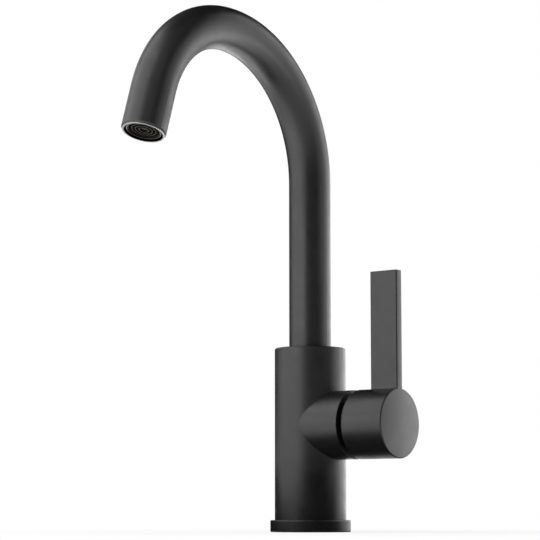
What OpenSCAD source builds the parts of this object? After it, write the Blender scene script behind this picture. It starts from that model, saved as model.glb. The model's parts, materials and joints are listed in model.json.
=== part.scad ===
// Single-lever basin mixer tap with a high swivelling spout and a side lever.
// Millimetres. +Z is up, the origin is the centre of the base ring's foot on the deck.
// The spout reaches towards -Y and the lever branch points along +X.

/* [Body] */
// Diameter of the upright body
body_d = 45; // [43:0.5:52]
// Height of the body's top above the deck
body_h = 115.7; // [113:0.1:150]
// Radius of the body's top edge
body_edge_r = 1; // [0.4:0.1:2]
// Radius of the hollow under the body, where the hoses go in
foot_hollow_r = 17.5; // [16.5:0.1:18.5]
// Depth of the hollow under the body
foot_hollow_h = 24; // [16:0.5:28]
// Radius of the water ways in the body
water_way_r = 3; // [2:0.1:3.4]
// Distance of the water ways behind the body's axis
water_way_back = 12.5; // [12:0.1:13.5]
// Height of the water chamber under the spout's shank
chamber_h = 4; // [2:0.1:5]

/* [Base ring] */
// Diameter of the base ring
ring_d = 50.7; // [49:0.1:58]
// Height of the base ring
ring_h = 7.5; // [5:0.5:12]
// Radius of the base ring's outer edges
ring_edge_r = 0.8; // [0.3:0.1:1]
// Radius of the body's spigot inside the base ring
spigot_r = 20; // [19.4:0.1:20.6]
// Radial width of the foot gasket
gasket_w = 2.8; // [2:0.1:3]
// Thickness of the foot gasket
gasket_t = 2; // [1:0.1:3]

/* [Inlets] */
// Tapping radius of a hose socket, M10 x 1
hose_socket_r = 4.5; // [4:0.1:5]
// Distance of a hose socket from the plane between the two
hose_socket_side = 8; // [7:0.1:8.5]
// Distance of the hose sockets behind the body's axis
hose_socket_back = 9; // [8:0.1:9.5]
// Depth of a hose socket
hose_socket_h = 16; // [12:0.5:18]
// Tapping radius of the fixing stud's socket, M8
stud_socket_r = 3.4; // [2.5:0.1:4.2]
// Distance of the stud's socket in front of the hose sockets' side, along X
stud_socket_x = 9; // [7:0.5:11]
// Depth of the stud's socket
stud_socket_h = 14; // [8:0.5:16]

/* [Lever branch] */
// Diameter of the branch and of the lever's hub
branch_d = 43.06; // [42.6:0.02:44]
// Distance of the branch's axis below the body's top
branch_drop = 49.3; // [48.7:0.1:51.7]
// Distance of the branch's open end from the body's axis
branch_end_x = 35.4; // [34.6:0.1:38]
// Radius of the branch's end edge
branch_edge_r = 0.3; // [0.1:0.05:0.5]

/* [Spout] */
// Outer diameter of the spout tube
spout_d = 26.6; // [25.6:0.1:28]
// Wall of the spout tube
spout_wall = 1.4; // [1:0.1:2]
// Height where the riser ends and the bend begins
riser_top_z = 221.5; // [180:0.5:260]
// Centre-line radius of the first bend
bend_1_r = 85.05; // [70:0.05:100]
// Angle of the first bend
bend_1_a = 94.3; // [80:0.1:110]
// Centre-line radius of the second, tighter bend
bend_2_r = 69.85; // [55:0.05:85]
// Angle of the second bend
bend_2_a = 68.25; // [50:0.05:80]
// Length of the straight end after the bends
spout_end_l = 28.8; // [26:0.1:45]
// How far the tube goes into the body
tube_insert = 4.7; // [3:0.1:6]
// How far the spout turns to each side
swivel_limit = 60; // [20:5:80]

/* [Spout joint] */
// Depth of the socket that the spout turns in
socket_depth = 24.7; // [24.6:0.1:26]
// Radius of the bore through the shank
shank_bore_r = 8; // [6:0.1:8.6]
// Length of the shank's spigot inside the tube
shank_spigot_l = 12; // [8:0.5:20]
// Thickness of the shank's flange under the tube
shank_flange_t = 1.6; // [1:0.1:2]
// Cord diameter of the two spout seals
spout_seal_d = 2.4; // [2:0.1:2.6]
// Radial thickness of the glide rings
glide_t = 1.2; // [0.8:0.1:1.6]
// Height of the upper glide ring
glide_upper_h = 3; // [2:0.1:3.4]
// Height of the lower glide ring
glide_lower_h = 2.4; // [1.6:0.1:2.6]
// Depth of the groove that the stop screw's tip runs in
stop_groove_t = 1.9; // [1.4:0.1:2.2]

/* [Outlet] */
// Radius of the bright rim round the outlet
rim_r = 12.65; // [12.2:0.05:13]
// Thickness of the rim
rim_t = 0.6; // [0.4:0.1:1]
// Radius of the bush's bore, where the aerator screws in
bush_bore_r = 11.45; // [11.1:0.05:11.5]
// Length of the bush
bush_l = 13; // [12:0.1:18]
// Outer radius of the aerator's free lip
lip_r = 10.65; // [10.2:0.05:10.9]
// Radial wall of the aerator's lip
lip_wall = 0.9; // [0.7:0.05:1.1]
// How deep the aerator's lip sits inside the rim
lip_inset = 1; // [0.4:0.1:1.4]
// Length of the aerator's lip
lip_l = 3; // [2.8:0.1:3.4]
// Length of the aerator's threaded part
aerator_thread_l = 5; // [4:0.1:5.6]
// Number of key slots in the lip
key_slots = 12; // [6:1:16]
// Width of a key slot
key_slot_w = 1.2; // [0.8:0.1:1.6]
// Depth of a key slot
key_slot_depth = 0.8; // [0.5:0.1:1.2]
// Thickness of the aerator's rubber seal
aerator_seal_t = 1.6; // [1:0.1:2]
// Radial width of the aerator's rubber seal
aerator_seal_w = 1.7; // [1.2:0.1:1.9]
// How deep the grille sits inside the lip
grille_inset = 0.6; // [0.3:0.1:1]
// Height of the grille
grille_t = 1.5; // [1:0.1:1.8]
// Number of rings in the grille, with its outer one
grille_rings = 4; // [3:1:4]
// Distance from one ring of the grille to the next
grille_pitch = 2.2; // [1.8:0.05:2.8]
// Width of a grille ring
grille_bar = 0.55; // [0.4:0.05:0.8]
// Number of spokes in the grille
grille_spokes = 12; // [6:1:16]
// Width of a spoke
spoke_w = 0.4; // [0.3:0.05:0.6]
// Thickness of the diffuser plate
diffuser_t = 0.8; // [0.5:0.1:1.2]
// Radius of a hole in the diffuser and in the strainer
sieve_hole_r = 0.55; // [0.4:0.05:0.7]

/* [Lever] */
// Gap between the branch and the lever's hub
groove_w = 2.8; // [2.5:0.1:3.2]
// Length of the lever's hub
hub_l = 30.15; // [28:0.05:36]
// Wall of the hub's skirt
hub_wall = 1.6; // [1.4:0.1:1.7]
// Wall of the hub's closed end
hub_end_wall = 3.2; // [2:0.1:4]
// Length of the bevel on the hub's inner rim
hub_bevel_l = 1.5; // [1:0.1:2]
// Radial height of the bevel on the hub's inner rim
hub_bevel_r = 1.15; // [0.8:0.05:1.2]
// Radius of the hub's outer end edge
hub_edge_r = 0.7; // [0.3:0.1:1]
// Radius of the boss inside the hub
boss_r = 9.5; // [9:0.1:10.5]
// Distance of the boss's end from the hub's inner rim
boss_inset = 6; // [5:0.1:8]
// Width of the lever's blade
blade_w = 19.6; // [15:0.1:21]
// Thickness of the lever's blade
blade_t = 6; // [4:0.1:7]
// Height of the blade's top above the branch's axis
blade_h = 94.7; // [60:0.1:120]
// Radius of the blade's edges
blade_edge_r = 0.6; // [0.2:0.1:1]
// How far the lever tilts outwards to open the water
lever_tilt = 20; // [12:1:21]

/* [Cartridge] */
// Diameter of the ceramic cartridge
cartridge_d = 35; // [34.6:0.1:35.4]
// Distance of the cartridge's seat behind the body's axis
seat_back = 8; // [7.6:0.1:8.2]
// Length of the cartridge from its seat to the shoulder that the nut holds
cartridge_l = 34; // [33.4:0.1:34.4]
// Thickness of the cartridge's base
base_t = 5; // [4.6:0.1:5.4]
// Thickness of the flange on the base
base_flange_t = 3; // [2.4:0.1:3.6]
// Thickness of each ceramic disc
disc_t = 3.5; // [3:0.1:3.8]
// Radius of the fixed ceramic disc
lower_disc_r = 15; // [14.7:0.1:15.2]
// Radius of the sliding ceramic disc
upper_disc_r = 11.6; // [11:0.1:11.7]
// Height of the disc driver above the sliding disc
driver_h = 5.9; // [5.6:0.1:6.1]
// Radius of the carrier's neck, which turns in the housing
neck_r = 11; // [10.8:0.1:11.4]
// Length of the housing's collar round the neck
collar_l = 10; // [8:0.1:11]
// How far the neck stands out of the housing
neck_out = 4; // [3:0.1:4.2]
// Wall of the housing round the discs
housing_wall = 2.3; // [2.1:0.1:2.4]
// Distance of the lever's tilt axis from the body's axis
pivot_x = 22; // [21.6:0.1:22.4]
// Radius of the pin that the stem tilts on
pin_r = 1.5; // [1:0.1:1.9]
// Distance from the tilt axis to the stem's ball
ball_arm = 15; // [14.8:0.1:15.2]
// Radius of the stem's ball
ball_r = 2.5; // [2.3:0.1:2.6]
// Radius of the finger that carries the ball
finger_r = 1.6; // [1.2:0.1:1.7]
// Side of the square stem
stem_w = 8; // [7:0.1:8.2]
// Distance of the stem's end from the tilt axis
stem_l = 38; // [34:0.5:39]
// Radius of the ports in the base and the discs
port_r = 3; // [2.4:0.1:3.2]
// Distance of the inlet ports from the plane between them
port_side = 7.5; // [7:0.1:8]
// Height of the inlet ports above the cartridge's axis
port_rise = 5.5; // [5:0.1:6]
// Depth of the outlet port below the cartridge's axis
port_drop = 7; // [6.5:0.1:7.6]
// Radius of the nut's thread, M38
nut_r = 19; // [18.6:0.1:19.4]
// Length of the nut
nut_l = 6; // [4:0.1:6.2]
// Radius of the dome ring's outer sphere, centred on the tilt axis
dome_r = 19.3; // [19:0.1:19.5]
// Wall of the dome ring
dome_wall = 1.3; // [1:0.1:1.8]
// Radius of the dome ring's opening
dome_hole_r = 11.4; // [11.2:0.1:12]

/* [Screws] */
// Radius of the M5 grub screws
grub_r = 2.5; // [2:0.1:2.9]
// Length of the lever's grub screw
grub_l = 6; // [5:0.5:8]
// How deep the stop screw's end lies under the body's surface
stop_screw_sink = 0.85; // [0.35:0.05:2.85]
// Radius of the stop screw's tip
stop_tip_r = 1.5; // [1:0.1:1.6]
// Width of the hexagon key across its flats
key_w = 2.5; // [2:0.1:3]
// Radius of the hole in the hub for the hexagon key
key_hole_r = 3.3; // [3:0.1:4]

/* [Fits] */
// Radial clearance of a running fit
running_fit = 0.06; // [0.03:0.01:0.1]
// Clearance between pieces that are fixed to each other
seat_fit = 0.05; // [0.02:0.01:0.08]
// Clearance round the spout tube where it enters the body
tube_gap = 0.15; // [0.1:0.01:0.3]
// Clearance between faces that slide over each other
slide_gap = 0.15; // [0.08:0.01:0.2]

/* [Hidden] */
$fn = 96;

BLACK = [0.10, 0.10, 0.11];
BRIGHT = [0.80, 0.80, 0.78];
BRASS = [0.78, 0.64, 0.36];
STEEL = [0.62, 0.63, 0.64];
CERAMIC = [0.93, 0.92, 0.88];
PLASTIC = [0.86, 0.86, 0.84];
DARK_PLASTIC = [0.17, 0.16, 0.14];
RUBBER = [0.07, 0.07, 0.07];

// Room that a cutting shape runs past the face it opens
over = 1;

body_r = body_d / 2;
branch_r = branch_d / 2;
branch_z = body_h - branch_drop;
spout_r = spout_d / 2;
ring_r = ring_d / 2;
gasket_r = (spigot_r + ring_r - gasket_w) / 2;
tube_bore_r = spout_r - spout_wall;

// Each stretch of the tube laps the one before it and is thicker by a hair, so they join in one solid
lap_t = 0.02;
lap_a = 0.3;
lap_l = 0.4;
end_bore_r = tube_bore_r - 3 * lap_t;

// The spout's route in its own plane, as [reach, height]
bend_1_end = [bend_1_r * (1 - cos(bend_1_a)), riser_top_z + bend_1_r * sin(bend_1_a)];
bend_2_mid = bend_1_end + bend_2_r * [cos(bend_1_a), -sin(bend_1_a)];
outlet_a = bend_1_a + bend_2_a;
bend_2_end = bend_2_mid - bend_2_r * [cos(outlet_a), -sin(outlet_a)];
outlet = bend_2_end + spout_end_l * [sin(outlet_a), cos(outlet_a)];

// Heights in the spout's socket, from its top down
tube_z = body_h - tube_insert;
socket_z = body_h - socket_depth;
socket_r = spout_r + tube_gap;
land_r = socket_r - running_fit;
seal_side_gap = 0.2;
seal_groove_h = spout_seal_d + 2 * seal_side_gap;
groove_gap = 0.6;
glide_upper_z = tube_z - shank_flange_t - glide_upper_h;
stop_z = glide_upper_z - 2 * groove_gap - stop_tip_r - slide_gap;
seal_b_z = stop_z - stop_tip_r - slide_gap - 2 * groove_gap - seal_groove_h / 2;
seal_a_z = seal_b_z - seal_groove_h - groove_gap;
glide_lower_z = seal_a_z - seal_groove_h / 2 - groove_gap - glide_lower_h;
shank_z = glide_lower_z - groove_gap;
seal_groove_r = land_r - spout_seal_d - seat_fit;
glide_groove_r = land_r - glide_t - seat_fit;
stop_groove_r = land_r - stop_groove_t;
stop_tip_y = stop_groove_r + slide_gap;
stop_screw_setback = 0.2;
stop_screw_y = socket_r + stop_screw_setback;
stop_screw_l = body_r - stop_screw_sink - stop_screw_y;
// The groove's ends stop the screw's tip just past the swivel's limit
stop_spare_a = 0.6;
stop_groove_a = swivel_limit + atan(stop_tip_r / stop_groove_r) + stop_spare_a;
shank_relief = 0.3;
shank_land_r = land_r - shank_relief;

// Places along the branch, from the body's axis
seat_x = -seat_back;
way_step = 0.3;
lower_disc_x = seat_x + base_t;
upper_disc_x = lower_disc_x + disc_t + running_fit;
driver_x = upper_disc_x + disc_t;
carrier_x = driver_x + driver_h + slide_gap;
shoulder_x = seat_x + cartridge_l;
cartridge_r = cartridge_d / 2;
housing_bore_r = cartridge_r - housing_wall;
cup_x = shoulder_x - collar_l + slide_gap;
carrier_flange_l = cup_x - slide_gap - carrier_x;
carrier_end_x = shoulder_x + neck_out;
housing_x = seat_x + base_flange_t + seat_fit;
nut_x = shoulder_x + seat_fit;
dome_x = nut_x + nut_l + seat_fit;
dome_flange_l = 2;
hub_x = branch_end_x + groove_w;
hub_end_x = hub_x + hub_l;
hub_bore_r = branch_r - hub_wall;
ball_x = pivot_x - ball_arm;
stem_end_x = pivot_x + stem_l;
boss_x = hub_x + boss_inset;
grub_x = (boss_x + stem_end_x) / 2;
grub_y = stem_w / 2 + seat_fit;

// The discs' slide is centred on the cartridge's axis
disc_travel = ball_arm * sin(lever_tilt);
disc_shift = disc_travel / 2;
disc_skirt = 1.5;
driver_wall = 0.75;
driver_r = upper_disc_r + seat_fit + driver_wall;
ball_fit = 0.1;
pin_fit = 0.01;
// Ribs on the carrier that the driver slides along
rib_y = 8.5;
rib_w = 2;
rib_h = 1.6;
rib_l = 12;

// Ports across the cartridge's end, seen along +X with up towards -X
PORTS = [[-port_rise, port_side], [-port_rise, -port_side], [port_drop, 0]];
port_seal_r = 0.8;
port_seal_wall = 0.5;
port_seal_ring_r = port_r + port_seal_wall + port_seal_r;
disc_seal_r = 0.6;
disc_seal_wall = 0.35;
disc_seal_ring_r = port_r + disc_seal_wall + disc_seal_r;
peg_r = 1.8;
peg_l = 2.5;
peg_y = 12.6;

// Places in the outlet, with 0 at the rim's face and minus inwards
lip_z = -lip_inset;
thread_z = lip_z - lip_l;
seal_step_z = thread_z - aerator_thread_l - aerator_seal_t - 2 * seat_fit;
lip_bore_r = lip_r - lip_wall;
thread_r = bush_bore_r - seat_fit;
grille_z = lip_z - grille_inset - grille_t;
diffuser_gap = 1.4;
diffuser_z = grille_z - diffuser_gap - diffuser_t;
aerator_bore_r = 9.2;
strainer_t = 0.8;
strainer_inset = 0.4;
strainer_z = thread_z - aerator_thread_l + strainer_inset;
seal_bore_r = thread_r - aerator_seal_w - 2 * seat_fit;

function tilted(p, a) = [p.x * cos(a) + p.y * sin(a), -p.x * sin(a) + p.y * cos(a)];

// Solid rod with its top edge rounded
module rounded_rod(r, h, edge_r) {
    rotate_extrude() {
        square([r, h - edge_r]);
        square([r - edge_r, h]);
        translate([r - edge_r, h - edge_r]) circle(edge_r);
    }
}

module pipe(r, bore_r, h) {
    difference() {
        cylinder(r = r, h = h);
        translate([0, 0, -over]) cylinder(r = bore_r, h = h + 2 * over);
    }
}

module o_ring(ring_r, cord_r) {
    rotate_extrude() translate([ring_r, 0]) circle(cord_r);
}

// Grub screw along +Z with a hexagon socket in its top
module grub_screw(r, l) {
    difference() {
        cylinder(r = r, h = l);
        translate([0, 0, l / 2]) cylinder(r = key_w / 2 / cos(30), h = l, $fn = 6);
    }
}

// Places its children on the branch's axis, with local +Z along +X and local -X up
module along_branch(x) {
    translate([x, 0, branch_z]) rotate([0, 90, 0]) children();
}

// Places its children at the outlet, with local +Z the way the water leaves
module at_outlet() {
    translate([0, -outlet.x, outlet.y]) rotate([outlet_a, 0, 0]) children();
}

// Extrudes a shape drawn in X and Z, measured from the tilt axis, by a width across Y
module across_pivot(w) {
    translate([pivot_x, w / 2, branch_z]) rotate([90, 0, 0]) linear_extrude(w) children();
}

// Body

// Drilled ways: one along the branch from each port, and one upright way that crosses it
module water_ways() {
    lap = 4;
    past = 2.5;
    upright_r = water_way_r + way_step;
    hose_z = foot_hollow_h + hose_socket_h - lap;
    for (p = PORTS) {
        z = branch_z - p.x;
        along_branch(-water_way_back - past) translate([p.x, p.y, 0])
            cylinder(r = water_way_r, h = water_way_back + past - seat_back + over);
        if (p.x < 0)
            translate([-water_way_back, p.y, hose_z]) cylinder(r = upright_r, h = z + past - hose_z);
        else
            translate([-water_way_back, p.y, z - past])
                cylinder(r = upright_r, h = socket_z - chamber_h + over - z + past);
    }
}

module inlet_sockets() {
    for (side = [-1, 1])
        translate([-hose_socket_back, side * hose_socket_side, foot_hollow_h - over])
            cylinder(r = hose_socket_r, h = hose_socket_h + over);
    translate([stud_socket_x, 0, foot_hollow_h - over])
        cylinder(r = stud_socket_r, h = stud_socket_h + over);
}

module cartridge_pocket() {
    along_branch(seat_x) cylinder(r = cartridge_r + seat_fit, h = cartridge_l);
    along_branch(shoulder_x) cylinder(r = nut_r + seat_fit, h = branch_end_x - shoulder_x + over);
    for (side = [-1, 1])
        along_branch(seat_x - peg_l - seat_fit) translate([0, side * peg_y, 0])
            cylinder(r = peg_r + seat_fit, h = peg_l + over);
}

// The hole that the spout turns in, with a wider water chamber at its foot
module spout_socket() {
    translate([0, 0, socket_z]) cylinder(r = socket_r, h = socket_depth + over);
    translate([0, 0, socket_z - chamber_h])
        cylinder(r = water_way_back + water_way_r + 2 * way_step, h = chamber_h);
}

module body_casting() {
    color(BLACK) difference() {
        union() {
            translate([0, 0, ring_h]) rounded_rod(body_r, body_h - ring_h, body_edge_r);
            translate([0, 0, gasket_t]) cylinder(r = spigot_r, h = ring_h);
            along_branch(0) rounded_rod(branch_r, branch_end_x, branch_edge_r);
        }
        translate([0, 0, -over]) cylinder(r = foot_hollow_r, h = foot_hollow_h + over);
        inlet_sockets();
        water_ways();
        cartridge_pocket();
        spout_socket();
        translate([0, body_r + over, stop_z]) rotate([90, 0, 0])
            cylinder(r = grub_r + seat_fit, h = body_r + over - stop_groove_r);
    }
}

module base_ring() {
    color(BLACK) rotate_extrude() difference() {
        union() {
            translate([0, ring_edge_r]) square([ring_r, ring_h - 2 * ring_edge_r]);
            square([ring_r - ring_edge_r, ring_h]);
            for (z = [ring_edge_r, ring_h - ring_edge_r])
                translate([ring_r - ring_edge_r, z]) circle(ring_edge_r);
        }
        translate([0, -over]) square([spigot_r + seat_fit, ring_h + 2 * over]);
        translate([gasket_r - seat_fit / 2, -over]) square([gasket_w + seat_fit, gasket_t + over]);
    }
}

module base_gasket() {
    color(RUBBER) pipe(gasket_r + gasket_w, gasket_r, gasket_t);
}

module swivel_stop_screw() {
    color(STEEL) translate([0, 0, stop_z]) rotate([-90, 0, 0]) {
        translate([0, 0, stop_screw_y]) grub_screw(grub_r, stop_screw_l);
        translate([0, 0, stop_tip_y]) cylinder(r = stop_tip_r, h = stop_screw_y - stop_tip_y + over);
    }
}

// Cartridge, the pieces that stay still

module port_holes(h) {
    for (p = PORTS) translate([p.x, p.y, -over]) cylinder(r = port_r, h = h + 2 * over);
}

module cartridge_base() {
    color(PLASTIC) along_branch(seat_x) difference() {
        union() {
            cylinder(r = cartridge_r - seat_fit, h = base_flange_t);
            cylinder(r = housing_bore_r - seat_fit, h = base_t);
            for (side = [-1, 1])
                translate([0, side * peg_y, -peg_l]) cylinder(r = peg_r, h = peg_l + over);
        }
        port_holes(base_t);
        for (p = PORTS) {
            translate([p.x, p.y, -over]) cylinder(r = port_seal_ring_r + port_seal_r + seat_fit,
                h = over + 2 * port_seal_r + seat_fit);
            translate([p.x, p.y, base_t - 2 * disc_seal_r - seat_fit])
                cylinder(r = disc_seal_ring_r + disc_seal_r + seat_fit, h = 2 * disc_seal_r + over);
        }
    }
}

module port_seals() {
    color(RUBBER) along_branch(seat_x + port_seal_r + seat_fit / 2)
        for (p = PORTS) translate([p.x, p.y, 0]) o_ring(port_seal_ring_r, port_seal_r);
}

module disc_seals() {
    color(RUBBER) along_branch(lower_disc_x - disc_seal_r - seat_fit / 2)
        for (p = PORTS) translate([p.x, p.y, 0]) o_ring(disc_seal_ring_r, disc_seal_r);
}

module lower_ceramic_disc() {
    color(CERAMIC) along_branch(lower_disc_x) difference() {
        cylinder(r = lower_disc_r, h = disc_t);
        port_holes(disc_t);
    }
}

module cartridge_housing() {
    color(PLASTIC) difference() {
        along_branch(housing_x) cylinder(r = cartridge_r - seat_fit, h = shoulder_x - housing_x);
        along_branch(housing_x - over) cylinder(r = housing_bore_r, h = cup_x - housing_x + over);
        along_branch(cup_x - over) cylinder(r = neck_r + running_fit, h = cartridge_l);
    }
}

// Threaded ring with slots in its face for a pin spanner
module cartridge_nut() {
    neck_gap = 0.7;
    slots = 6;
    slot_w = 4;
    slot_l = 3;
    slot_depth = 2;
    color(BRASS) along_branch(nut_x) difference() {
        pipe(nut_r, neck_r + neck_gap, nut_l);
        for (i = [0 : slots - 1]) rotate([0, 0, i * 360 / slots])
            translate([nut_r - slot_l, -slot_w / 2, nut_l - slot_depth])
                cube([slot_l + over, slot_w, slot_depth + over]);
    }
}

// Screwed ring that hides the nut, domed round the tilt axis so that the hub swings clear
module dome_ring() {
    foot = dome_x - pivot_x;
    color(BLACK) along_branch(pivot_x) rotate_extrude() difference() {
        union() {
            translate([dome_hole_r, foot]) square([nut_r - dome_hole_r, dome_flange_l]);
            intersection() {
                circle(dome_r);
                translate([dome_hole_r, foot]) square(dome_r);
            }
        }
        circle(dome_r - dome_wall);
    }
}

// Cartridge, the pieces that move

// What a bar of this half width sweeps over length l, on the side where dir points, as it tilts
module swept_bar(half, l, dir) {
    polygon([[0, dir * half], [dir * l, dir * half],
        tilted([dir * (l + half) / cos(lever_tilt), -dir * half], lever_tilt),
        tilted([0, -dir * half], lever_tilt)]);
}

// The stem, its finger and its ball tilt in this slot, whose walls stop the stem at both ends
module stem_slot() {
    stem_half = stem_w / 2 + slide_gap;
    finger_half = finger_r + slide_gap;
    ball_half = ball_r + slide_gap;
    near = pivot_x - carrier_x + over;
    across_pivot(2 * stem_half) {
        circle(stem_half);
        swept_bar(stem_half, carrier_end_x - pivot_x + over, 1);
    }
    across_pivot(2 * finger_half) swept_bar(finger_half, near, -1);
    across_pivot(2 * ball_half) difference() {
        swept_bar(ball_half, near, -1);
        circle(ball_arm - ball_half);
    }
}

module cartridge_carrier() {
    color(DARK_PLASTIC) difference() {
        union() {
            along_branch(carrier_x) cylinder(r = housing_bore_r - running_fit, h = carrier_flange_l);
            along_branch(carrier_x) cylinder(r = neck_r, h = carrier_end_x - carrier_x);
            for (side = [-1, 1])
                along_branch(carrier_x - rib_h) translate([-rib_l / 2, side * rib_y - rib_w / 2, 0])
                    cube([rib_l, rib_w, rib_h + over]);
        }
        stem_slot();
        translate([pivot_x, -neck_r - over, branch_z]) rotate([-90, 0, 0])
            cylinder(r = pin_r + pin_fit, h = 2 * (neck_r + over));
    }
}

module stem_pin() {
    inset = 0.2;
    color(STEEL) translate([pivot_x, -neck_r + inset, branch_z]) rotate([-90, 0, 0])
        cylinder(r = pin_r, h = 2 * (neck_r - inset));
}

// The recess joins the ports that it lies over
module upper_ceramic_disc() {
    recess_r = 7;
    recess_t = 1.5;
    recess_shift = 0.4;
    color(CERAMIC) along_branch(upper_disc_x) translate([disc_shift, 0, 0]) difference() {
        cylinder(r = upper_disc_r, h = disc_t);
        translate([recess_shift, 0, -over]) cylinder(r = recess_r, h = recess_t + over);
    }
}

// Carries the sliding disc and takes the stem's ball in its middle
module disc_driver() {
    mouth_l = 1.8;
    mouth_flare = 1.3;
    rib_groove_w = rib_w + 2 * slide_gap;
    color(DARK_PLASTIC) along_branch(driver_x) difference() {
        translate([disc_shift, 0, -disc_skirt]) cylinder(r = driver_r, h = driver_h + disc_skirt);
        translate([disc_shift, 0, -disc_skirt - over])
            cylinder(r = upper_disc_r + seat_fit, h = disc_skirt + over);
        translate([0, 0, -over]) cylinder(r = ball_r + ball_fit, h = driver_h + 2 * over);
        translate([0, 0, driver_h - mouth_l]) cylinder(r = ball_r + mouth_flare, h = mouth_l + over);
        for (side = [-1, 1])
            translate([-2 * driver_r, side * rib_y - rib_groove_w / 2, driver_h - rib_h])
                cube([4 * driver_r, rib_groove_w, rib_h + over]);
    }
}

module lever_stem() {
    color(STEEL) {
        difference() {
            union() {
                across_pivot(stem_w) circle(stem_w / 2);
                translate([pivot_x, -stem_w / 2, branch_z - stem_w / 2]) cube([stem_l, stem_w, stem_w]);
                along_branch(ball_x) {
                    cylinder(r = finger_r, h = ball_arm - stem_w / 4);
                    sphere(ball_r);
                }
            }
            translate([pivot_x, -stem_w, branch_z]) rotate([-90, 0, 0])
                cylinder(r = pin_r + running_fit, h = 2 * stem_w);
        }
    }
}

// Lever

// Flat bar with its upright and top edges rounded
module blade() {
    root_wall = 0.5;
    foot_z = hub_bore_r + root_wall;
    h = blade_h - foot_z;
    r = blade_edge_r;
    translate([hub_end_x - blade_w, 0, branch_z + foot_z]) intersection() {
        linear_extrude(h) translate([0, -blade_t / 2]) rounded_rect(blade_w, blade_t, r);
        translate([0, blade_t / 2, 0]) rotate([90, 0, 0]) linear_extrude(blade_t)
            translate([0, -blade_t]) rounded_rect(blade_w, h + blade_t, r);
        rotate([90, 0, 90]) linear_extrude(blade_w)
            translate([-blade_t / 2, -blade_t]) rounded_rect(blade_t, h + blade_t, r);
    }
}

module rounded_rect(w, h, r) {
    translate([r, 0]) square([w - 2 * r, h]);
    translate([0, r]) square([w, h - 2 * r]);
    for (x = [r, w - r], y = [r, h - r]) translate([x, y]) circle(r);
}

module hub_shell() {
    difference() {
        rotate_extrude() {
            polygon([[0, 0], [branch_r - hub_bevel_r, 0], [branch_r, hub_bevel_l],
                [branch_r, hub_l - hub_edge_r], [branch_r - hub_edge_r, hub_l], [0, hub_l]]);
            translate([branch_r - hub_edge_r, hub_l - hub_edge_r]) circle(hub_edge_r);
        }
        translate([0, 0, -over]) cylinder(r = hub_bore_r, h = hub_l - hub_end_wall + over);
    }
}

module lever_handle() {
    color(BLACK) difference() {
        union() {
            along_branch(hub_x) hub_shell();
            along_branch(boss_x) cylinder(r = boss_r, h = hub_end_x - boss_x - hub_end_wall + over);
            blade();
        }
        translate([boss_x - over, -stem_w / 2 - seat_fit, branch_z - stem_w / 2 - seat_fit])
            cube([stem_end_x - boss_x + over + seat_fit, stem_w + 2 * seat_fit, stem_w + 2 * seat_fit]);
        translate([grub_x, 0, branch_z]) rotate([-90, 0, 0]) {
            cylinder(r = grub_r + seat_fit, h = hub_bore_r - over);
            translate([0, 0, hub_bore_r - over]) cylinder(r = key_hole_r, h = branch_r);
        }
    }
}

module lever_grub_screw() {
    color(STEEL) translate([grub_x, grub_y, branch_z]) rotate([-90, 0, 0]) grub_screw(grub_r, grub_l);
}

// Plug that closes the key hole and follows the hub's round
module screw_cap() {
    color(BLACK) difference() {
        intersection() {
            translate([grub_x, 0, branch_z]) rotate([-90, 0, 0])
                cylinder(r = key_hole_r - seat_fit, h = branch_r + over);
            along_branch(hub_x) cylinder(r = branch_r, h = hub_l);
        }
        along_branch(hub_x) translate([0, 0, -over]) cylinder(r = hub_bore_r, h = hub_l + 2 * over);
    }
}

// Spout

// One bend of the tube, with a short lap over the stretch before it
module bend(mid, bend_r, start_a, a, stretch) {
    translate([0, -mid.x, mid.y]) rotate([90, 0, 90]) rotate([0, 0, start_a - lap_a])
        rotate_extrude(angle = a + lap_a) translate([bend_r, 0]) difference() {
            circle(spout_r + stretch * lap_t);
            circle(tube_bore_r - stretch * lap_t);
        }
}

module spout_tube() {
    r = spout_r + 3 * lap_t;
    color(BLACK) {
        translate([0, 0, tube_z]) pipe(spout_r, tube_bore_r, riser_top_z - tube_z);
        bend([bend_1_r, riser_top_z], bend_1_r, 0, bend_1_a, 1);
        bend(bend_2_mid, bend_2_r, bend_1_a, bend_2_a, 2);
        at_outlet() rotate_extrude() polygon([
            [end_bore_r, -spout_end_l - lap_l], [r, -spout_end_l - lap_l],
            [r, -rim_t - (r - rim_r)], [rim_r, -rim_t], [end_bore_r, -rim_t]]);
    }
}

module shank_groove(z, groove_r, h) {
    translate([0, 0, z]) pipe(socket_r, groove_r, h);
}

module spout_shank() {
    color(BRASS) difference() {
        union() {
            translate([0, 0, shank_z]) cylinder(r = shank_land_r, h = tube_z - shank_z);
            translate([0, 0, tube_z]) cylinder(r = tube_bore_r - seat_fit, h = shank_spigot_l);
        }
        translate([0, 0, shank_z - over])
            cylinder(r = shank_bore_r, h = tube_z - shank_z + shank_spigot_l + 2 * over);
        for (z = [seal_a_z, seal_b_z]) shank_groove(z - seal_groove_h / 2, seal_groove_r, seal_groove_h);
        shank_groove(glide_upper_z, glide_groove_r, glide_upper_h);
        shank_groove(glide_lower_z, glide_groove_r, glide_lower_h);
        rotate([0, 0, 90 - stop_groove_a]) rotate_extrude(angle = 2 * stop_groove_a)
            translate([stop_groove_r, stop_z - stop_tip_r - slide_gap])
                square([socket_r, 2 * (stop_tip_r + slide_gap)]);
    }
}

module spout_o_rings() {
    color(RUBBER) for (z = [seal_a_z, seal_b_z])
        translate([0, 0, z]) o_ring(land_r - spout_seal_d / 2, spout_seal_d / 2);
}

module glide_rings() {
    color(PLASTIC) {
        translate([0, 0, glide_upper_z + seat_fit / 2])
            pipe(land_r, land_r - glide_t, glide_upper_h - seat_fit);
        translate([0, 0, glide_lower_z + seat_fit / 2])
            pipe(land_r, land_r - glide_t, glide_lower_h - seat_fit);
    }
}

// Outlet

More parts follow.
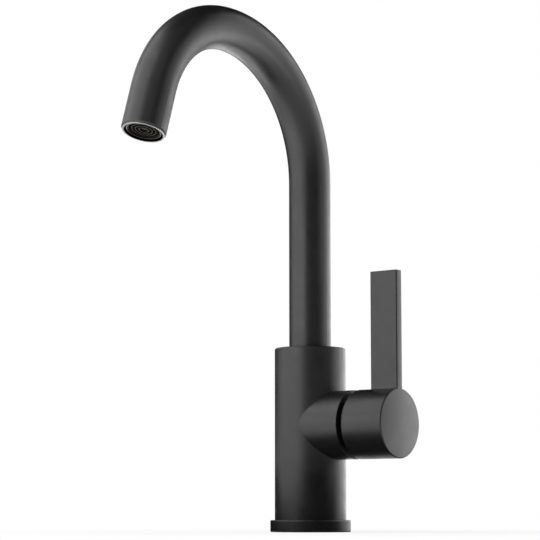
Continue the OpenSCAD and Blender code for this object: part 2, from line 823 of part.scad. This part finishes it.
module outlet_bush() {
    color(BRIGHT) at_outlet() difference() {
        union() {
            translate([0, 0, -rim_t]) cylinder(r = rim_r, h = rim_t);
            translate([0, 0, -bush_l]) cylinder(r = end_bore_r - seat_fit, h = bush_l - rim_t);
        }
        translate([0, 0, seal_step_z]) cylinder(r = bush_bore_r, h = bush_l);
        translate([0, 0, -bush_l - over]) cylinder(r = seal_bore_r, h = bush_l);
    }
}

module aerator_housing() {
    color(STEEL) at_outlet() difference() {
        union() {
            translate([0, 0, thread_z - aerator_thread_l]) cylinder(r = thread_r, h = aerator_thread_l);
            translate([0, 0, thread_z - over]) cylinder(r = lip_r, h = lip_l + over);
        }
        translate([0, 0, diffuser_z]) cylinder(r = lip_bore_r, h = bush_l);
        translate([0, 0, thread_z - aerator_thread_l - over]) cylinder(r = aerator_bore_r, h = bush_l);
        for (i = [0 : key_slots - 1]) rotate([0, 0, i * 360 / key_slots])
            translate([lip_bore_r + lip_wall / 2, -key_slot_w / 2, lip_z - key_slot_depth])
                cube([lip_wall, key_slot_w, key_slot_depth + over]);
    }
}

// Rings on thin spokes, with the spokes set back from the rings' faces
module aerator_grille() {
    grille_r = lip_bore_r - seat_fit;
    color(DARK_PLASTIC) at_outlet() translate([0, 0, grille_z]) {
        for (i = [0 : grille_rings - 1]) {
            r = grille_r - i * grille_pitch;
            pipe(r, r - grille_bar, grille_t);
        }
        intersection() {
            cylinder(r = grille_r - grille_bar / 2, h = grille_t / 2);
            for (i = [0 : grille_spokes - 1]) rotate([0, 0, i * 360 / grille_spokes])
                translate([0, -spoke_w / 2, 0]) cube([lip_bore_r, spoke_w, grille_t]);
        }
    }
}

// Rings of holes, six more on each ring
module sieve_holes(rings, pitch, h) {
    for (ring = [1 : rings], i = [0 : 6 * ring - 1]) rotate([0, 0, i * 60 / ring])
        translate([ring * pitch, 0, -over]) cylinder(r = sieve_hole_r, h = h + 2 * over, $fn = 24);
}

module aerator_diffuser() {
    rings = 4;
    pitch = 2.1;
    color(PLASTIC) at_outlet() translate([0, 0, diffuser_z]) difference() {
        cylinder(r = lip_bore_r - seat_fit, h = diffuser_t);
        sieve_holes(rings, pitch, diffuser_t);
    }
}

module aerator_strainer() {
    rings = 3;
    pitch = 2.5;
    color(PLASTIC) at_outlet() translate([0, 0, strainer_z]) difference() {
        cylinder(r = aerator_bore_r - seat_fit, h = strainer_t);
        sieve_holes(rings, pitch, strainer_t);
    }
}

module aerator_seal() {
    color(RUBBER) at_outlet() translate([0, 0, seal_step_z + seat_fit])
        pipe(thread_r - seat_fit, thread_r - seat_fit - aerator_seal_w, aerator_seal_t);
}

body_casting();
base_ring();
base_gasket();
swivel_stop_screw();
cartridge_base();
port_seals();
disc_seals();
lower_ceramic_disc();
cartridge_housing();
cartridge_nut();
dome_ring();
spout_tube();
spout_shank();
spout_o_rings();
glide_rings();
outlet_bush();
aerator_housing();
aerator_grille();
aerator_diffuser();
aerator_strainer();
aerator_seal();
cartridge_carrier();
stem_pin();
upper_ceramic_disc();
disc_driver();
lever_stem();
lever_handle();
lever_grub_screw();
screw_cap();
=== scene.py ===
"""Looks of a basin mixer tap in matt black: body with a side lever, swivelling spout, aerator."""

import json
import math

import bpy
import bmesh
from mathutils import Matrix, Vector


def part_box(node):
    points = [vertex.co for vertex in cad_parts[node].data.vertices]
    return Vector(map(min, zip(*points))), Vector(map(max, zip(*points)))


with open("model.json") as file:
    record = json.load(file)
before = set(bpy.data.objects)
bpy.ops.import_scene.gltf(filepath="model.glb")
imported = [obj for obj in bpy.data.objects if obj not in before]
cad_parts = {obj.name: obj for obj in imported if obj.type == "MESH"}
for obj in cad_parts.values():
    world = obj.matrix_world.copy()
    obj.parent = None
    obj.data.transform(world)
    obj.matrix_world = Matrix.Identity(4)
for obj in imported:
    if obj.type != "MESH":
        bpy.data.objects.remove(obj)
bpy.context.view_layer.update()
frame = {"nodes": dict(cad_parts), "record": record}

MM = 0.001

# Camera, fitted to the outline of the tap, in metres and degrees. Lens and sensor are in millimetres.
CAMERA_AT = (0.7275, -0.9813, 0.0119)
CAMERA_AZIMUTH = 37.75
CAMERA_PITCH = 7.2
CAMERA_LENS = 128.25
CAMERA_SENSOR = 36.0
CAMERA_CLIP_END = 20.0

# Softened edges of the lever, and slight crowns: the slope in radians that a face has at its edge.
EDGE_ROUND = 0.9 * MM
EDGE_SAMPLES = 8
HUB_CROWN = 0.15
BLADE_CROWN = 0.14
RIM_CROWN = 0.2
LIP_CROWN = 0.8
# Height over which the blade's crown sets in, above the hub, and the blade's thickness in the solids.
BLADE_CROWN_START = 2 * MM
BLADE_T = 6 * MM

# Outlet in the solids: radii of the rim and the aerator's lip, and how deep the diffuser's middle lies.
RIM_R = 12.65 * MM
RIM_BORE_R = 11.45 * MM
LIP_R = 10.65 * MM
LIP_BORE_R = 9.75 * MM
DIFFUSER_DEPTH = 4.9 * MM
# The rim is black on the bevel inside its face and on its walls, and bright on the rest and a little way
# round its edge. The black on the bevel and the bore wall is painted shade of the outlet's groove, and on
# the outer wall it is black paint like the tube's.
RIM_BEVEL = 0.55 * MM
RIM_LINE = 0.3 * MM
RIM_SHADE_AND_PAINT_BLACK = (0.012, 0.012, 0.012, 1)

# Noise lies mostly in this range. Blotches and mottle are this many grains across.
NOISE_RANGE = (0.3, 0.7)
BLOTCH_GRAINS = 12
BLOTCH_DETAIL = 3.0
MOTTLE_GRAINS = 4

# Index of refraction of every surface.
REFRACTIVE_INDEX = 1.5

# Nodes that don't take the plain material of their slot.
LOOKS = {"lever_handle": "lever_paint", "swivel_stop_screw": "dark_steel"}

# Sockets of a node that mixes two colours.
MIX_FACTOR = 0
MIX_COLORS = (6, 7)
MIX_RESULT = 2

# Studio, in metres and degrees. A direction is a pair of angles at the tap: to the camera's right, and up.
WHITE = (1, 1, 1, 1)
STUDIO_CENTRE = Vector((0.0, 0.0, 0.12))
# Strength of the world where it is not seen.
FILL = 0.35
# The floor is lifted to white by a share that grows to 1 between two distances from the tap.
FLOOR_SIZE = 8.0
FLOOR_COLOR = (0.9, 0.9, 0.9, 1)
FLOOR_LIFT_NEAR = 0.75
FLOOR_LIFT_REACH = (0.06, 0.35)
# Lamps and cards that lie on the floor are this high above it.
FLOOR_LAMP_Z = 0.01
FLOOR_CARD_Z = 0.0001
# Cards far round the tap and above it, and cards near it, from just outside the base ring.
CARD_COLOR = (0.002, 0.002, 0.002, 1)
FLAG_DISTANCE = 1.6
CEILING_DISTANCE = 1.8
FOOT_REACH = 0.0255
# The black card out to this reach round the foot is a painted contact shadow, which reflections show.
FOOT_SHADE_REACH = 0.04
FENCE_REACH = 0.09
FENCE_HEIGHT = 0.032
FENCE_HEIGHT_LOW = 0.018


def make_camera():
    """Camera at the fitted place. A camera looks level when it is turned up by 90 degrees."""
    data = bpy.data.cameras.new("camera")
    data.sensor_fit = "HORIZONTAL"
    data.sensor_width = CAMERA_SENSOR
    data.lens = CAMERA_LENS
    data.clip_end = CAMERA_CLIP_END
    camera = bpy.data.objects.new("camera", data)
    camera.location = CAMERA_AT
    camera.rotation_euler = (math.radians(90 + CAMERA_PITCH), 0, math.radians(CAMERA_AZIMUTH))
    bpy.context.scene.collection.objects.link(camera)
    bpy.context.scene.camera = camera


def direction(right, up):
    """Unit vector from the tap, at an angle to the camera's right and an angle up."""
    turn = math.radians(CAMERA_AZIMUTH - 90 + right)
    rise = math.radians(up)
    return Vector((math.cos(turn) * math.cos(rise), math.sin(turn) * math.cos(rise), math.sin(rise)))


# Shader nodes

def new_material(name):
    """Material without nodes."""
    material = bpy.data.materials.new(name)
    material.use_nodes = True
    material.node_tree.nodes.clear()
    return material


def feed(material, socket, value):
    """An input takes another node's output, or a plain value."""
    if isinstance(value, bpy.types.NodeSocket):
        material.node_tree.links.new(value, socket)
    else:
        socket.default_value = value


def add_node(material, kind, *inputs, **values):
    """A node with its first inputs in order, and its settings and other inputs by name, _ for a space."""
    node = material.node_tree.nodes.new(kind)
    for name, value in values.items():
        if hasattr(node, name):
            setattr(node, name, value)
        else:
            feed(material, node.inputs[name.replace("_", " ")], value)
    for socket, value in zip(node.inputs, inputs):
        feed(material, socket, value)
    return node


def compute(material, operation, *values):
    """Output of a maths node whose inputs are numbers or sockets."""
    return add_node(material, "ShaderNodeMath", *values, operation=operation).outputs["Value"]


def vectors(material, operation, *values, result="Vector"):
    """Output of a maths node whose inputs are vectors or sockets."""
    return add_node(material, "ShaderNodeVectorMath", *values, operation=operation).outputs[result]


def object_place(material):
    """Place on the object, which is its place on the tap at rest."""
    return add_node(material, "ShaderNodeTexCoord").outputs["Object"]


def noise(material, place, size, detail=2.0):
    """Noise whose features are about this many metres across."""
    node = add_node(material, "ShaderNodeTexNoise", Vector=place, Scale=1 / size, Detail=detail)
    return node.outputs["Fac"]


def bump(material, height, distance, normal):
    """Normal that follows a height, on top of the normal given, if any."""
    node = add_node(material, "ShaderNodeBump", Strength=1.0, Distance=distance, Height=height)
    if normal:
        feed(material, node.inputs["Normal"], normal)
    return node.outputs["Normal"]


def mix_colors(material, factor, first, second):
    """Colour between two colours."""
    node = add_node(material, "ShaderNodeMix", data_type="RGBA")
    feed(material, node.inputs[MIX_FACTOR], factor)
    for index, color in zip(MIX_COLORS, (first, second)):
        feed(material, node.inputs[index], color)
    return node.outputs[MIX_RESULT]


# Shapes that the materials add

def middle(node):
    """Middle of a node's box."""
    low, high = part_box(node)
    return (low + high) / 2


def outlet_axis():
    """A point on the outlet's axis, in the diffuser, and the direction out of the outlet."""
    at = middle("aerator_diffuser")
    return at, (at - middle("aerator_seal")).normalized()


def axis_distance(material, offset, along):
    """Distance from an axis, for an offset from a point on it."""
    on_axis = vectors(material, "PROJECT", offset, along)
    return vectors(material, "DISTANCE", offset, on_axis, result="Value")


def ring_crown(inner, outer, slope):
    """Height of a ring's rounded face round the outlet's axis, between two radii."""
    at, along = outlet_axis()
    half = (outer - inner) / 2

    def height(material, place):
        across = axis_distance(material, vectors(material, "SUBTRACT", place, at), along)
        off = compute(material, "SUBTRACT", across, inner + half)
        return compute(material, "MULTIPLY", compute(material, "MULTIPLY", off, off), -slope / (2 * half))

    return height


def rim_shade_and_paint(material, place):
    """0 on the bright part of the rim, and 1 on its bevel and its walls: painted shade of the outlet's
    groove on the bevel and the bore wall, and black paint on the outer wall.
    """
    at, along = outlet_axis()
    offset = vectors(material, "SUBTRACT", place, at)
    across = axis_distance(material, offset, along)
    inside = compute(material, "LESS_THAN", across, RIM_BORE_R + RIM_BEVEL)
    ahead = vectors(material, "DOT_PRODUCT", offset, along, result="Value")
    behind = compute(material, "LESS_THAN", ahead, DIFFUSER_DEPTH - RIM_LINE)
    return compute(material, "MAXIMUM", inside, behind)


def lever_crown(material, place):
    """Height of the slight crown on the hub's end face and on the blade's narrow sides."""
    low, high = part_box("lever_handle")
    hub_r = (high.y - low.y) / 2
    axes = add_node(material, "ShaderNodeSeparateXYZ", place).outputs
    rise = compute(material, "SUBTRACT", axes["Z"], low.z + hub_r)
    side = compute(material, "MULTIPLY", axes["Y"], axes["Y"])
    square = compute(material, "ADD", side, compute(material, "MULTIPLY", rise, rise))
    on_hub = compute(material, "MINIMUM", square, hub_r ** 2)
    hub = compute(material, "MULTIPLY", on_hub, -HUB_CROWN / (2 * hub_r))
    above = add_node(material, "ShaderNodeMapRange", interpolation_type="SMOOTHSTEP", Value=rise,
                     From_Min=hub_r, From_Max=hub_r + BLADE_CROWN_START)
    blade = compute(material, "MULTIPLY", side, -BLADE_CROWN / BLADE_T)
    return compute(material, "ADD", hub, compute(material, "MULTIPLY", blade, above.outputs["Result"]))


# Materials

def surface(name, color, rough, metallic=0.0, grain=0.4 * MM, depth=0.01 * MM, vary=0.12, tone=0.1,
            specular=0.5, gloss=(1, 1, 1), mottle=None, crown=None, edge=None, black=None):
    """Principled surface with a grainy bump, uneven roughness and slightly uneven colour.

    grain and depth are the size and the height of the bump. vary and tone are the shares by which the
    roughness and the colour vary, mottle is the size of the uneven colour, and gloss is the tint of
    reflections. crown gives a height, edge is the radius of softened edges, and black gives a mask of
    the places that are coloured black, which on the rim is painted shade of the outlet's groove on the
    bevel and the bore wall, and black paint on the outer wall.
    """
    material = new_material(name)
    place = object_place(material)

    normal = None
    if edge:
        normal = add_node(material, "ShaderNodeBevel", samples=EDGE_SAMPLES, Radius=edge).outputs["Normal"]
    if crown:
        normal = bump(material, crown(material, place), 1.0, normal)
    normal = bump(material, noise(material, place, grain), depth, normal)

    blotches = noise(material, place, BLOTCH_GRAINS * grain, BLOTCH_DETAIL)
    uneven = add_node(material, "ShaderNodeMapRange", Value=blotches, From_Min=NOISE_RANGE[0],
                      From_Max=NOISE_RANGE[1], To_Min=rough * (1 - vary), To_Max=rough * (1 + vary))

    darker, lighter = [[part * share for part in color] + [1] for share in (1 - tone, 1 + tone)]
    tint = noise(material, place, mottle or MOTTLE_GRAINS * grain)
    shade = mix_colors(material, tint, darker, lighter)
    if black:
        # On the rim this black mask paints the shade of the outlet's groove, and black paint on the outer
        # wall, over the colour.
        shade = mix_colors(material, black(material, place), shade, RIM_SHADE_AND_PAINT_BLACK)

    shader = add_node(material, "ShaderNodeBsdfPrincipled", Base_Color=shade, Metallic=metallic,
                      Roughness=uneven.outputs["Result"], IOR=REFRACTIVE_INDEX, Normal=normal,
                      Specular_IOR_Level=specular, Specular_Tint=(*gloss, 1))
    add_node(material, "ShaderNodeOutputMaterial", shader.outputs["BSDF"])
    return material


def make_materials():
    """A material for each slot of the record, and those that LOOKS names."""
    paint = dict(color=(0.008, 0.008, 0.0082), rough=0.39, grain=0.8 * MM, depth=0.022 * MM, tone=0.6,
                 mottle=1.2 * MM)
    metal = dict(metallic=1.0, grain=0.2 * MM, depth=0.002 * MM)
    looks = {
        "black_paint": paint,
        "lever_paint": dict(paint, crown=lever_crown, edge=EDGE_ROUND),
        "rubber": dict(color=(0.02, 0.02, 0.02), rough=0.7, grain=0.3 * MM),
        "steel": dict(metal, color=(0.36, 0.36, 0.365), rough=0.34),
        "dark_steel": dict(metal, color=(0.05, 0.05, 0.052), rough=0.4),
        "brass": dict(metal, color=(0.78, 0.6, 0.3), rough=0.28),
        # The rim's bevel and bore wall are coloured black as painted shade of the outlet's groove, and its
        # outer wall as black paint.
        "bright_rim": dict(metal, color=(0.28, 0.28, 0.27), rough=0.35, grain=0.15 * MM,
                           crown=ring_crown(RIM_BORE_R, RIM_R, RIM_CROWN), black=rim_shade_and_paint),
        "aerator_shell": dict(metal, color=(0.07, 0.07, 0.066), rough=0.3, depth=0.01 * MM,
                              crown=ring_crown(LIP_BORE_R, LIP_R, LIP_CROWN)),
        "dark_plastic": dict(color=(0.010, 0.0085, 0.0045), rough=0.5, grain=0.3 * MM, specular=0.12,
                             gloss=(1.0, 0.9, 0.75)),
        "black_plastic": dict(color=(0.014, 0.014, 0.0145), rough=0.36, grain=0.5 * MM, depth=0.008 * MM),
        "white_plastic": dict(color=(0.8, 0.8, 0.77), rough=0.45, tone=0.03),
        "ceramic": dict(color=(0.85, 0.84, 0.8), rough=0.15, depth=0.001 * MM, tone=0.02),
    }
    return {name: surface(name, **look) for name, look in looks.items()}


def dress_nodes(materials):
    """Every node of the frame takes the material of its slot, or the one that LOOKS names."""
    for part in frame["record"]["subparts"]:
        slots = frame["nodes"][part["node"]].data.materials
        slots.clear()
        slots.append(materials[LOOKS.get(part["node"], part["material_slot"])])


# World and floor

def seen_directly(material):
    """1 where a ray comes from the camera, a gloss or a clear piece, and 0 elsewhere."""
    path = add_node(material, "ShaderNodeLightPath").outputs
    seen = compute(material, "MAXIMUM", path["Is Camera Ray"], path["Is Glossy Ray"])
    return compute(material, "MAXIMUM", seen, path["Is Transmission Ray"])


def make_world():
    """White where it is seen, and a plain fill elsewhere."""
    world = bpy.data.worlds.new("world")
    world.use_nodes = True
    world.node_tree.nodes.clear()
    strength = add_node(world, "ShaderNodeMapRange", Value=seen_directly(world), To_Min=FILL)
    back = add_node(world, "ShaderNodeBackground", Color=WHITE, Strength=strength.outputs["Result"])
    add_node(world, "ShaderNodeOutputWorld", back.outputs["Background"])
    bpy.context.scene.world = world


def make_floor():
    """Pale floor that is lifted to white where it is seen, and keeps the shadow near the tap."""
    material = new_material("floor")
    reach = vectors(material, "LENGTH", object_place(material), result="Value")
    lift = add_node(material, "ShaderNodeMapRange", interpolation_type="SMOOTHSTEP", Value=reach,
                    From_Min=FLOOR_LIFT_REACH[0], From_Max=FLOOR_LIFT_REACH[1], To_Min=FLOOR_LIFT_NEAR)
    share = compute(material, "MULTIPLY", seen_directly(material), lift.outputs["Result"])
    pale = add_node(material, "ShaderNodeBsdfDiffuse", Color=FLOOR_COLOR).outputs["BSDF"]
    white = add_node(material, "ShaderNodeEmission", Color=WHITE, Strength=1.0).outputs["Emission"]
    mix = add_node(material, "ShaderNodeMixShader", share, pale, white)
    add_node(material, "ShaderNodeOutputMaterial", mix.outputs["Shader"])
    bpy.ops.mesh.primitive_plane_add(size=FLOOR_SIZE)
    floor = bpy.context.object
    floor.name = "floor"
    floor.data.materials.append(material)


# Lamps

def softbox(name, right, up, distance, width, height, radiance):
    """Area light that faces the tap. Radiance 1 is as bright as white paper in full light."""
    data = bpy.data.lights.new(name, "AREA")
    data.shape = "RECTANGLE"
    data.size = width
    data.size_y = height
    data.energy = radiance * math.pi * width * height
    light = bpy.data.objects.new(name, data)
    away = direction(right, up)
    light.location = STUDIO_CENTRE + distance * away
    light.rotation_euler = away.to_track_quat("Z", "Y").to_euler()
    light.visible_camera = False
    bpy.context.scene.collection.objects.link(light)
    return light


def low_softbox(name, right, distance, width, depth, radiance):
    """Area light that lies just over the floor and shines up."""
    light = softbox(name, right, 0, distance, width, depth, radiance)
    light.location.z = FLOOR_LAMP_Z
    light.rotation_euler = (math.pi, 0, math.radians(CAMERA_AZIMUTH + right))


def make_lamps():
    """Lamps round the tap, which its sides reflect, and on the floor, which its undersides reflect."""
    softbox("softbox_left", right=-85, up=11, distance=0.85, width=0.55, height=0.3, radiance=1.4)
    softbox("softbox_left_front", right=-47, up=11, distance=0.85, width=0.55, height=0.3, radiance=2.2)
    softbox("softbox_left_high", right=-70, up=50, distance=0.8, width=1.0, height=0.6, radiance=2.1)
    softbox("softbox_front", right=8, up=42, distance=0.8, width=0.4, height=0.3, radiance=0.65)
    softbox("softbox_front_high", right=0, up=62, distance=0.8, width=0.7, height=0.4, radiance=0.3)
    softbox("softbox_side", right=107, up=11, distance=0.8, width=0.4, height=0.45, radiance=1.2)
    softbox("softbox_right", right=124, up=5, distance=0.82, width=0.35, height=0.4, radiance=1.5)
    softbox("softbox_right_back", right=149, up=5, distance=0.82, width=0.35, height=0.4, radiance=2.2)
    softbox("softbox_right_high", right=121, up=40, distance=0.8, width=0.27, height=0.5, radiance=1.6)
    low_softbox("softbox_low_left", right=-60, distance=0.68, width=0.9, depth=0.64, radiance=1.75)
    low_softbox("softbox_low_right", right=112, distance=0.68, width=0.9, depth=0.64, radiance=2.3)
    low_softbox("softbox_low_back", right=180, distance=1.1, width=0.6, depth=1.0, radiance=3.5)
    low_softbox("softbox_near_left", right=-62, distance=0.25, width=0.3, depth=0.2, radiance=0.8)
    low_softbox("softbox_near_right", right=112, distance=0.25, width=0.3, depth=0.2, radiance=1.4)
    low_softbox("softbox_near_back", right=180, distance=0.2, width=0.45, depth=0.19, radiance=2.4)


# Black cards

def spread(limits, steps):
    """Even steps from the first limit to the second."""
    return [limits[0] + (limits[1] - limits[0]) * i / steps for i in range(steps + 1)]


def card(name, rows):
    """Sheet through rows of points, which only reflections show. Its material comes later."""
    mesh = bpy.data.meshes.new(name)
    sheet = bmesh.new()
    rows = [[sheet.verts.new(point) for point in row] for row in rows]
    for low, high in zip(rows, rows[1:]):
        for j in range(len(low) - 1):
            sheet.faces.new((low[j], low[j + 1], high[j + 1], high[j]))
    sheet.to_mesh(mesh)
    sheet.free()
    obj = bpy.data.objects.new(name, mesh)
    obj.visible_camera = False
    obj.visible_diffuse = False
    obj.visible_shadow = False
    obj.visible_transmission = False
    bpy.context.scene.collection.objects.link(obj)
    return obj


def flag(name, right, up, distance=FLAG_DISTANCE, steps=12):
    """Curved card between two angles each way."""
    return card(name, [[STUDIO_CENTRE + distance * direction(turn, rise) for turn in spread(right, steps)]
                       for rise in spread(up, steps)])


def round_card(name, right, ends, steps=24):
    """Card between two angles round the tap, from one distance and height to another."""
    return card(name, [[distance * direction(turn, 0) + Vector((0, 0, z)) for turn in spread(right, steps)]
                       for distance, z in ends])


def floor_flag(name, right, reach):
    """Card that lies on the floor, from the foot outwards."""
    return round_card(name, right, [(FOOT_REACH, FLOOR_CARD_Z), (reach, FLOOR_CARD_Z)])


def fence(name, right, height):
    """Card that stands on the floor near the tap."""
    return round_card(name, right, [(FENCE_REACH, FLOOR_CARD_Z), (FENCE_REACH, height)])


def make_cards():
    """Cards that keep the bright world and floor out of the reflections that are dark."""
    black = new_material("flag_black")
    shader = add_node(black, "ShaderNodeBsdfDiffuse", Color=CARD_COLOR)
    add_node(black, "ShaderNodeOutputMaterial", shader.outputs["BSDF"])
    cards = [
        flag("flag_camera_side", right=(-24, 54), up=(-80, 80)),
        flag("flag_back", right=(160, 200), up=(-5, 70)),
        flag("flag_back_left", right=(200, 235), up=(-5, 18)),
        flag("flag_back_high", right=(138, 160), up=(30, 70)),
        flag("flag_above", right=(-180, 180), up=(35, 89), distance=CEILING_DISTANCE, steps=48),
        floor_flag("flag_floor", right=(-150, 80), reach=FENCE_REACH),
        # flag_foot is a black card round the foot that reflections show as the tap's contact shadow: a
        # painted shadow.
        floor_flag("flag_foot", right=(80, 210), reach=FOOT_SHADE_REACH),
        fence("flag_fence_left", right=(-150, -100), height=FENCE_HEIGHT),
        fence("flag_fence_low", right=(-100, -40), height=FENCE_HEIGHT_LOW),
        fence("flag_fence", right=(-40, 80), height=FENCE_HEIGHT),
    ]
    for obj in cards:
        obj.data.materials.append(black)


make_camera()
dress_nodes(make_materials())
make_world()
make_floor()
make_lamps()
make_cards()

view = bpy.context.scene.view_settings
view.view_transform = "Standard"
